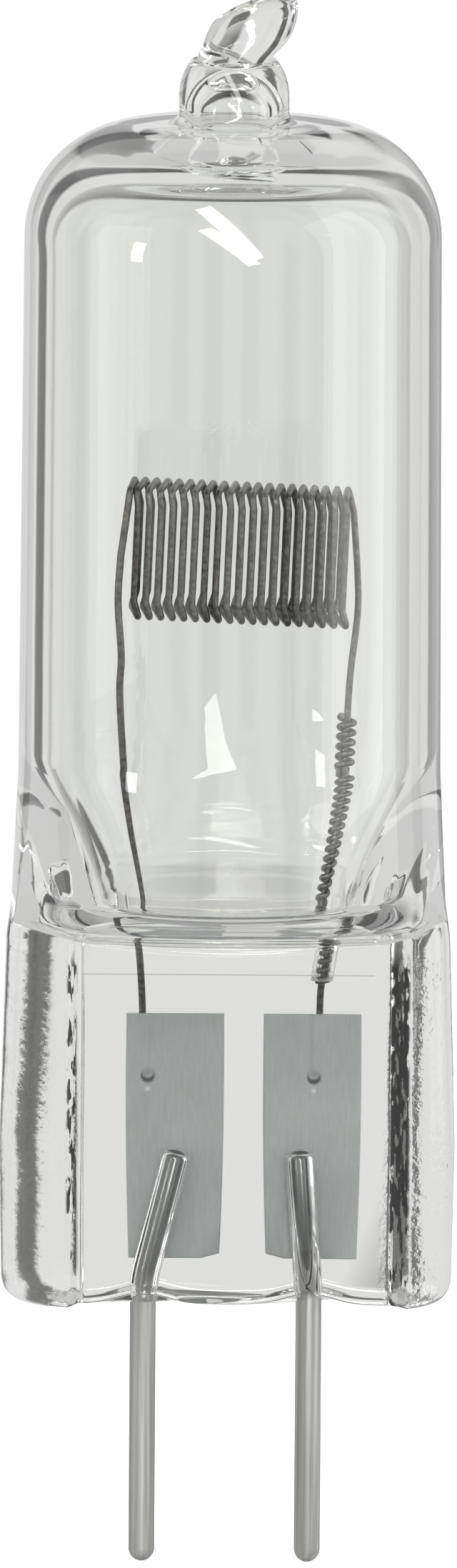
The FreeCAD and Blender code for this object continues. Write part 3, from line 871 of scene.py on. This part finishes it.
def outer_ring(level):
    """One ring of the outside below the dome. At the foot it follows the drawn-up bottom edge."""
    bowl = bowl_depth(level, JAW_FOOT, JAW_HALF, tube_radius(level), JAW_FOOT_CURVE, JAW_TOP_CURVE)
    round_reach = tube_radius(level) if level > JAW_FOOT else 0.0
    reach = max(rib_reach(level) if level < RIB_TOP else 0.0, round_reach)
    edge = max(0.0, FOOT_EDGE - level)
    drawn_in = FOOT_EDGE - math.sqrt(max(0.0, FOOT_EDGE**2 - edge**2))
    ring = []
    for index in range(RING_POINTS):
        angle = 2 * math.pi * index / RING_POINTS
        x = reach * math.cos(angle)
        tube = dented(x, math.sqrt(max(0.0, round_reach**2 - x * x)), level)
        side = math.copysign(1, math.sin(angle))
        depth = softer(tube * bowl / tube_radius(level), rib_depth(x, level, side), RIB_BLEND)
        if abs(math.sin(angle)) < ON_EDGE:
            depth = 0.0
        depth = max(0.0, depth - drawn_in)
        lift = FOOT_LIFT * math.exp(-(((abs(x) - PIN_SPACING / 2) / FOOT_LIFT_WIDTH) ** 2))
        lift *= max(0.0, 1 - level / FOOT_LIFT_FADE)
        ring.append((x, side * depth, level + lift))
    return ring


def round_ring(radius, z, place=0.0, depth=None):
    """A ring of the turned part above, round or slightly flat."""
    ring = []
    for index in range(RING_POINTS):
        angle = 2 * math.pi * index / RING_POINTS
        ring.append((place + radius * math.cos(angle), (depth or radius) * math.sin(angle), z))
    return ring


def quarter(radius, height, reach, rise, steps, last=90):
    """Radii and heights on an ellipse's quarter, from its side towards its top."""
    angles = [math.radians(last * step / steps) for step in range(steps + 1)]
    return [(radius + reach * math.cos(a), height + rise * math.sin(a)) for a in angles]


def spaced(start, step, count):
    """Evenly spaced heights from a start."""
    return [start + step * index for index in range(count)]


def outside_rings():
    """Rings up the outside: the pinch and tube, the dome, the neck, and the bead that leans on it."""
    levels = list(FOOT_LEVELS)
    for level_run in LEVEL_RUNS:
        levels += spaced(*level_run)
    rings = [outer_ring(level) for level in levels]
    top = TUBE_RADII[2]
    profile = quarter(top - DOME_CORNER, CROWN - DOME_CORNER, DOME_CORNER, DOME_CORNER, DOME_STEPS)
    profile.append((NECK_RADIUS + NECK_FILLET + NECK_LAND, CROWN + CROWN_RISE))
    for step in range(FILLET_STEPS + 1):
        angle = math.radians(90 * step / FILLET_STEPS)
        profile.append((
            NECK_RADIUS + NECK_FILLET - NECK_FILLET * math.sin(angle),
            CROWN + NECK_FILLET - NECK_FILLET * math.cos(angle),
        ))
    shoulder = CROWN + NECK_FILLET + NECK_STRAIGHT
    profile += quarter(0, shoulder, NECK_RADIUS, NECK_DOME, NECK_STEPS, last=NECK_DOME_END)
    rings += [round_ring(radius, z) for radius, z in profile]
    bead = smooth([Vector((height, place, half)) for height, place, half, depth in BEAD], BEAD_STEPS)
    depths = [(height, depth) for height, place, half, depth in BEAD]
    for height, place, half in bead:
        rings.append(round_ring(half, height, place, between(depths, height)))
    return rings


def sag(z):
    """How far the back wall has sagged inwards above the pinch: its lean grows, then stops."""
    above = min(1.0, max(0.0, (SAG_TOP - z) / (SAG_TOP - SAG_FOOT)))
    below = min(1.0, max(0.0, (SAG_FOOT - z) / (SAG_FOOT - SAG_END)))
    leaning = above * above * (SAG_TOP - SAG_FOOT) / 2
    return SAG_LEAN * (leaning + (below - below * below / 2) * (SAG_FOOT - SAG_END))


def hollow_ring(reach, front, back, z, square=2.0):
    """A ring of the hollow above the pinch, whose back may stand nearer than its front."""
    ring = []
    for index in range(RING_POINTS):
        angle = 2 * math.pi * index / RING_POINTS
        x = reach * math.cos(angle)
        wall = back if math.sin(angle) > 0 else front
        depth = wall * math.sqrt(max(0.0, 1 - abs(x / reach) ** square))
        if abs(math.sin(angle)) < ON_EDGE:
            depth = 0.0
        ring.append((x, math.copysign(depth, math.sin(angle)), z))
    return ring


def inside_rings():
    """Rings up the hollow: above the pinch, past the sagged wall, the bore, its dome and the neck."""
    bore = TUBE_RADII[2] - WALL
    full = bore + HOLLOW_FLARE
    rings = []
    for z in spaced(*HOLLOW_LEVELS):
        share = min(1.0, (z - FLOOR) / FLOOR_RISE)
        reach = FLOOR_WIDTH + (full - FLOOR_WIDTH) * share * share * (3 - 2 * share)
        bowl = bowl_depth(
            z,
            JAW_FOOT,
            JAW_HALF - JAW_WALL,
            tube_radius(z) - JAW_WALL,
            JAW_FOOT_CURVE + JAW_WALL,
            JAW_TOP_CURVE - JAW_WALL,
        )
        rings.append(hollow_ring(reach, min(bowl, full), min(bowl, full - sag(z)), z, 3 - share))
    rings += [hollow_ring(full, full, full - sag(z), z) for z in spaced(*SAG_LEVELS)]
    levels = spaced(*BORE_LEVELS)
    profile = [(bore + BORE_TAPER * (1 - step / (len(levels) - 1)), z) for step, z in enumerate(levels)]
    side = bore - INNER_CORNER
    profile += quarter(side, INNER_CROWN - INNER_CORNER, INNER_CORNER, INNER_CORNER, INNER_DOME_STEPS)
    profile.append((TIP_HOLE + TIP_HOLE_EDGE[0], INNER_CROWN))
    profile.append((TIP_HOLE, INNER_CROWN + TIP_HOLE_EDGE[1]))
    profile.append((NECK_BORE, INNER_CROWN + TIP_HOLE_TAPER))
    dome = NECK_BORE_TOP - NECK_BORE
    profile += quarter(0, dome, NECK_BORE, NECK_BORE, BORE_STEPS, last=NECK_BORE_END)
    return rings + [round_ring(radius, z) for radius, z in profile]


def strip(tree, value, middle, half, fade, inside, outside):
    """A value that is one thing inside a strip of a coordinate and another outside, with a fade."""
    off = add(tree, "ShaderNodeMath", {0: value, 1: middle}, operation="SUBTRACT").outputs[0]
    away = add(tree, "ShaderNodeMath", {0: off}, operation="ABSOLUTE").outputs[0]
    return add(tree, "ShaderNodeMapRange", {
        "Value": away,
        "From Min": half - fade,
        "From Max": half + fade,
        "To Min": inside,
        "To Max": outside,
    }).outputs[0]


def all_of(tree, shares):
    """The product of several shares."""
    whole = shares[0]
    for share in shares[1:]:
        whole = add(tree, "ShaderNodeMath", {0: whole, 1: share}, operation="MULTIPLY").outputs[0]
    return whole


def painted_fleck_share(tree, place, parts, pressed, front, fleck_band):
    """Where one flank shows painted dark flecks of shade: specks of noise in a strip, on the pressed front
    face.
    """
    low, high, least = fleck_band
    streaked = add(tree, "ShaderNodeMapping", {"Vector": place, "Scale": (1.0, 1.0, 0.35)})
    fleck_noise = add(tree, "ShaderNodeTexNoise", {
        "Vector": streaked.outputs[0],
        "Scale": 1 / (FLECK_WIDTH * MM),
        "Detail": 3.0,
    }).outputs[0]
    bottom, top, drop = FEWER_FLECKS
    fewer = add(tree, "ShaderNodeMapRange", {
        "Value": parts["Z"],
        "From Min": top * MM,
        "From Max": bottom * MM,
        "To Max": drop,
    }).outputs[0]
    rough = add(tree, "ShaderNodeMath", {0: fleck_noise, 1: fewer}, operation="SUBTRACT").outputs[0]
    specks = add(tree, "ShaderNodeMapRange", {
        "Value": rough,
        "From Min": least,
        "From Max": least + FLECK_FADE,
    }).outputs[0]
    band = strip(tree, parts["X"], (low + high) / 2 * MM, (high - low) / 2 * MM, FLECK_FADE * MM, 1.0, 0.0)
    return all_of(tree, (band, specks, pressed, front))


def fused_quartz():
    """Fused quartz: colourless and clear, pitted where the jaws pressed it, with their edge's mark and
    painted dark flecks of shade along the ribs' flanks.
    """
    material, tree = new_material("fused_quartz")
    place = add(tree, "ShaderNodeTexCoord").outputs["Object"]
    parts = add(tree, "ShaderNodeSeparateXYZ", {0: place}).outputs
    across = add(tree, "ShaderNodeMath", {0: parts["X"]}, operation="ABSOLUTE").outputs[0]
    front = add(tree, "ShaderNodeMath", {0: parts["Y"], 1: 0.0}, operation="LESS_THAN").outputs[0]
    low, high = PITTED_FROM
    on_rib = add(tree, "ShaderNodeMapRange", {
        "Value": across,
        "From Min": low * MM,
        "From Max": high * MM,
    }).outputs[0]
    low, high = PRESSED_BELOW
    pressed = add(tree, "ShaderNodeMapRange", {
        "Value": parts["Z"],
        "From Min": high * MM,
        "From Max": low * MM,
    }).outputs[0]
    pits = add(tree, "ShaderNodeTexNoise", {"Vector": place, "Scale": 1 / (PIT_WIDTH * MM), "Detail": 3.0})
    relief = add(tree, "ShaderNodeBump", {
        "Height": pits.outputs[0],
        "Strength": all_of(tree, (on_rib, pressed)),
        "Distance": PIT_DEPTH * MM,
    })
    surface = add(tree, "ShaderNodeBsdfPrincipled", {
        "Base Color": linear(QUARTZ_TINT),
        "Roughness": 0.0,
        "IOR": 1.458,
        "Transmission Weight": 1.0,
        "Normal": relief.outputs[0],
    })
    # painted glow: where the wall has piped light along many reflections, it glows with the tent's mean
    # white
    depth = add(tree, "ShaderNodeLightPath").outputs["Glossy Depth"]
    piped = add(tree, "ShaderNodeMath", {0: depth, 1: PIPED_AFTER}, operation="GREATER_THAN")
    glow = add(tree, "ShaderNodeEmission", {"Color": linear("#ffffff"), "Strength": PIPED_LIGHT})
    clear = add(tree, "ShaderNodeMixShader", {
        0: piped.outputs[0],
        1: surface.outputs[0],
        2: glow.outputs[0],
    })
    line = add(tree, "ShaderNodeMath", {
        0: parts["Z"],
        1: JAW_MARK * MM,
        2: JAW_MARK_WIDTH / 2 * MM,
    }, operation="COMPARE").outputs[0]
    on_web = add(tree, "ShaderNodeMath", {
        0: across,
        1: RIB_FLANKS[-1][0] * MM,
    }, operation="LESS_THAN").outputs[0]
    frost = add(tree, "ShaderNodeBsdfDiffuse", {"Color": linear(FROST_GREY)})
    result = add(tree, "ShaderNodeMixShader", {
        0: all_of(tree, (line, on_web, front, JAW_MARK_SHARE)),
        1: clear.outputs[0],
        2: frost.outputs[0],
    }).outputs[0]
    # painted shade: near-black flecks on the ribs' flanks
    painted_dark = add(tree, "ShaderNodeBsdfPrincipled", {"Base Color": linear(FLANK_PAINTED_DARK), "Roughness": 0.35})
    for fleck_band in RIB_SHADE_FLECKS:
        result = add(tree, "ShaderNodeMixShader", {
            0: painted_fleck_share(tree, place, parts, pressed, front, fleck_band),
            1: result,
            2: painted_dark.outputs[0],
        }).outputs[0]
    add(tree, "ShaderNodeOutputMaterial", {0: result})
    return material


def pin_bore(side):
    """Rings up the close bore that the glass keeps round a sealed pin."""
    foot = Vector((side * (PIN_SPACING / 2 - PIN_BORE_SHIFT), 0, PIN_BORE_FOOT))
    axis = [(foot, Vector((0, 0, 1)))]
    axis += [pair for pair in pin_axis(side) if pair[0].z > PIN_BORE_FOOT + PIN_BORE_START]
    rings = [ring_across(middle, way, PIN_BORE, PIN_SIDES) for middle, way in axis]
    top, way = axis[-1]
    rise, share = PIN_BORE_END
    return rings + [ring_across(top + way * rise, way, PIN_BORE * share, PIN_SIDES)]


quartz = fused_quartz()
mesh = bmesh.new()
skin(mesh, outside_rings())
skin(mesh, inside_rings(), inside=True)
for side in SIDES:
    skin(mesh, pin_bore(side), inside=True)
low = SUPPORT_FOOT - SUPPORT_BORE_DROP
high = FLOOR - SUPPORT_BORE_COVER
bore = [point for point in right_leg if low < point.z < high][::-1]
skin(mesh, [ring_across(point, Vector((0, 0, 1)), SUPPORT_BORE, PIN_SIDES) for point in bore], inside=True)
finished("quartz_envelope", mesh, quartz, "glass_envelope")

# Stage: a white card under a light tent, and three lamps that draw the white highlights.
# The bulb stands upright on its pins, as it does in the photograph. The dark gaps between the tent's
# white sheets are what the glass shows as lines along its edges.
FLOOR_WHITE = "#dcdcdc"
FLOOR_RADIUS = 110.0
CAMERA_DISTANCE = 800.0
CAMERA_TILT = math.radians(9.0)
CAMERA_ROLL = math.radians(0.4)
TARGET = Vector((-0.03, 0.0, 20.02))
FRAME_HEIGHT_PIXELS = 2196
PIXELS_PER_MM = 36.7
SENSOR = 36.0
# the white sheets' light, and the degrees over which a gap's edge fades
PANEL_LIGHT = 0.78
GAP_FADE = 1.5
GAPS = (
    # bearing from straight behind, half width, light
    (-168.75, 5.5, 0.04),
    (-123.75, 5.5, 0.04),
    (-78.75, 5.5, 0.04),
    (56.25, 5.5, 0.04),
    (101.25, 5.5, 0.04),
    (146.25, 5.5, 0.04),
)
# heights of a direction between which the gaps fade out, and the tent's darker top sets in
GAP_ENDS = (0.3, 0.55)
TOP_EDGE = (0.8, 0.85)
TOP_LIGHT = 0.2
# one gap behind the pinch, and through how many faces of glass it is still seen
PINCH_GAP = (15.0, 9.0, 0.16)
PINCH_CROSSINGS = 2.5
# the backdrop's edge: angle off the photograph's line of sight, half width, light, and its open side
BACKDROP_EDGE = (34.0, 6.0, 0.06)
BACKDROP_OPEN = (0.12, 0.40)
# seen through glass, the card darkens between these distances from the bulb's middle
SHADOW_REACH = (10.0, 40.0)
SHADOW_LIGHT = 0.3
# the tent's even light on what isn't glass or mirrored, and the card's glow in the camera's eye
FILL_LIGHT = 0.5
FLOOR_GLOW = 0.8
LAMPS = (
    # name, azimuth, height angle, roll, width, height, distance in metres, watts, seen in reflections
    ("front_box", -1, 25, 30, 0.10, 0.66, 0.6, 2.2, True),
    ("left_box", -60, 10, 0, 0.10, 0.30, 0.7, 1.0, False),
    ("right_sheet", 80, 5, 0, 0.60, 1.40, 0.7, 4.0, True),
)


def gap_light(tree, angle, gap):
    """The light by an angle across one gap: dark inside it, and the sheets' white outside."""
    middle, half, dark = gap
    return strip(
        tree,
        angle,
        math.radians(middle),
        math.radians(half),
        math.radians(GAP_FADE),
        dark,
        PANEL_LIGHT,
    )


def tent_light(tree, towards):
    """The tent's light towards a point: white sheets, with narrow dark gaps near the horizon."""
    parts = add(tree, "ShaderNodeSeparateXYZ", {0: towards}).outputs
    bearing = add(tree, "ShaderNodeMath", {0: parts["X"], 1: parts["Y"]}, operation="ARCTAN2").outputs[0]
    # the gap behind the pinch shows through the solid pinch only, not through the tube's four faces
    crossed = add(tree, "ShaderNodeLightPath").outputs["Transmission Depth"]
    hidden = add(tree, "ShaderNodeMath", {
        0: crossed,
        1: PINCH_CROSSINGS,
    }, operation="GREATER_THAN").outputs[0]
    light = add(tree, "ShaderNodeMix", {
        0: hidden,
        2: gap_light(tree, bearing, PINCH_GAP),
        3: PANEL_LIGHT,
    }).outputs[0]
    for gap in GAPS:
        level = gap_light(tree, bearing, gap)
        light = add(tree, "ShaderNodeMath", {0: light, 1: level}, operation="MINIMUM").outputs[0]
    height = add(tree, "ShaderNodeMath", {0: parts["Z"]}, operation="ABSOLUTE").outputs[0]
    low, high = GAP_ENDS
    past_gaps = add(tree, "ShaderNodeMapRange", {"Value": height, "From Min": low, "From Max": high})
    low, high = TOP_EDGE
    top = add(tree, "ShaderNodeMapRange", {
        "Value": parts["Z"],
        "From Min": low,
        "From Max": high,
        "To Min": PANEL_LIGHT,
        "To Max": TOP_LIGHT,
    })
    light = add(tree, "ShaderNodeMix", {0: past_gaps.outputs[0], 2: light, 3: top.outputs[0]}).outputs[0]
    # the backdrop's dark edge runs up its left side and over the top, and is open on the right
    axis = (0.0, math.cos(CAMERA_TILT), -math.sin(CAMERA_TILT))
    way = add(tree, "ShaderNodeVectorMath", {0: towards}, operation="NORMALIZE").outputs[0]
    near = add(tree, "ShaderNodeVectorMath", {0: way, 1: axis}, operation="DOT_PRODUCT").outputs[1]
    angle = add(tree, "ShaderNodeMath", {0: near}, operation="ARCCOSINE").outputs[0]
    low, high = BACKDROP_OPEN
    open_side = add(tree, "ShaderNodeMapRange", {
        "Value": add(tree, "ShaderNodeSeparateXYZ", {0: way}).outputs["X"],
        "From Min": low,
        "From Max": high,
    })
    arc = add(tree, "ShaderNodeMix", {
        0: open_side.outputs[0],
        2: gap_light(tree, angle, BACKDROP_EDGE),
        3: PANEL_LIGHT,
    }).outputs[0]
    return add(tree, "ShaderNodeMath", {0: light, 1: arc}, operation="MINIMUM").outputs[0]


def white_card():
    """White card: the camera sees it as paper, and it still takes the bulb's shadow.

    Through the glass it carries on the tent's light, darker close to the bulb.
    """
    material, tree = new_material("white_card")
    rays = add(tree, "ShaderNodeLightPath").outputs
    lit = add(tree, "ShaderNodeMath", {0: rays["Is Camera Ray"], 1: FLOOR_GLOW}, operation="MULTIPLY")
    surface = add(tree, "ShaderNodeBsdfPrincipled", {
        "Base Color": linear(FLOOR_WHITE),
        "Roughness": 0.9,
        "Emission Color": linear("#ffffff"),
        "Emission Strength": lit.outputs[0],
    })
    place = add(tree, "ShaderNodeTexCoord").outputs["Object"]
    level = add(tree, "ShaderNodeVectorMath", {
        0: place,
        1: (1.0, 1.0, 0.0),
    }, operation="MULTIPLY").outputs[0]
    away = add(tree, "ShaderNodeVectorMath", {0: level}, operation="LENGTH").outputs[1]
    low, high = SHADOW_REACH
    shadow = add(tree, "ShaderNodeMapRange", {
        "Value": away,
        "From Min": low * MM,
        "From Max": high * MM,
        "To Min": SHADOW_LIGHT,
    }).outputs[0]
    card = add(tree, "ShaderNodeEmission", {
        "Color": linear("#ffffff"),
        "Strength": all_of(tree, (tent_light(tree, level), shadow)),
    })
    through = add(tree, "ShaderNodeMixShader", {
        0: rays["Is Transmission Ray"],
        1: surface.outputs[0],
        2: card.outputs[0],
    })
    add(tree, "ShaderNodeOutputMaterial", {0: through.outputs[0]})
    return material


def hang_lamp(name, azimuth, tilt, roll, width, height, distance, power, mirrored):
    """Hang an area lamp round the bulb, facing it."""
    lamp = bpy.data.lights.new(name, "AREA")
    lamp.shape = "RECTANGLE"
    lamp.size = width
    lamp.size_y = height
    lamp.energy = power
    box = bpy.data.objects.new(name, lamp)
    turn = math.radians(azimuth)
    rise = math.radians(tilt)
    way = Vector((math.sin(turn) * math.cos(rise), -math.cos(turn) * math.cos(rise), math.sin(rise)))
    box.location = TARGET * MM + way * distance
    facing = way.to_track_quat("Z", "Y").to_matrix() @ Matrix.Rotation(math.radians(roll), 3, "Z")
    box.rotation_euler = facing.to_euler()
    box.visible_glossy = mirrored
    bpy.context.scene.collection.objects.link(box)


mesh = bmesh.new()
bmesh.ops.create_circle(mesh, cap_ends=True, segments=96, radius=FLOOR_RADIUS * MM)
bmesh.ops.translate(mesh, verts=mesh.verts, vec=(0, 0, -PIN_LENGTH * MM))
data = bpy.data.meshes.new("floor")
mesh.to_mesh(data)
mesh.free()
data.materials.append(white_card())
floor = bpy.data.objects.new("floor", data)
bpy.context.scene.collection.objects.link(floor)

world = bpy.data.worlds.new("tent")
bpy.context.scene.world = world
world.use_nodes = True
tree = world.node_tree
tree.nodes.clear()
rays = add(tree, "ShaderNodeLightPath").outputs
panel = tent_light(tree, add(tree, "ShaderNodeTexCoord").outputs["Generated"])
mirrored = add(tree, "ShaderNodeMix", {0: rays["Is Diffuse Ray"], 2: panel, 3: FILL_LIGHT})
strength = add(tree, "ShaderNodeMix", {0: rays["Is Camera Ray"], 2: mirrored.outputs[0], 3: 1.0})
white = add(tree, "ShaderNodeBackground", {"Color": linear("#ffffff"), "Strength": strength.outputs[0]})
add(tree, "ShaderNodeOutputWorld", {0: white.outputs[0]})

for lamp in LAMPS:
    hang_lamp(*lamp)

lens = bpy.data.cameras.new("camera")
lens.sensor_width = SENSOR
lens.lens = SENSOR * CAMERA_DISTANCE / (FRAME_HEIGHT_PIXELS / PIXELS_PER_MM)
lens.clip_start = 0.01
camera = bpy.data.objects.new("camera", lens)
way = Vector((0, -math.cos(CAMERA_TILT), math.sin(CAMERA_TILT)))
camera.location = (TARGET + way * CAMERA_DISTANCE) * MM
facing = way.to_track_quat("Z", "Y").to_matrix() @ Matrix.Rotation(CAMERA_ROLL, 3, "Z")
camera.rotation_euler = facing.to_euler()
bpy.context.scene.collection.objects.link(camera)
bpy.context.scene.camera = camera
bpy.context.scene.view_settings.view_transform = "Standard"
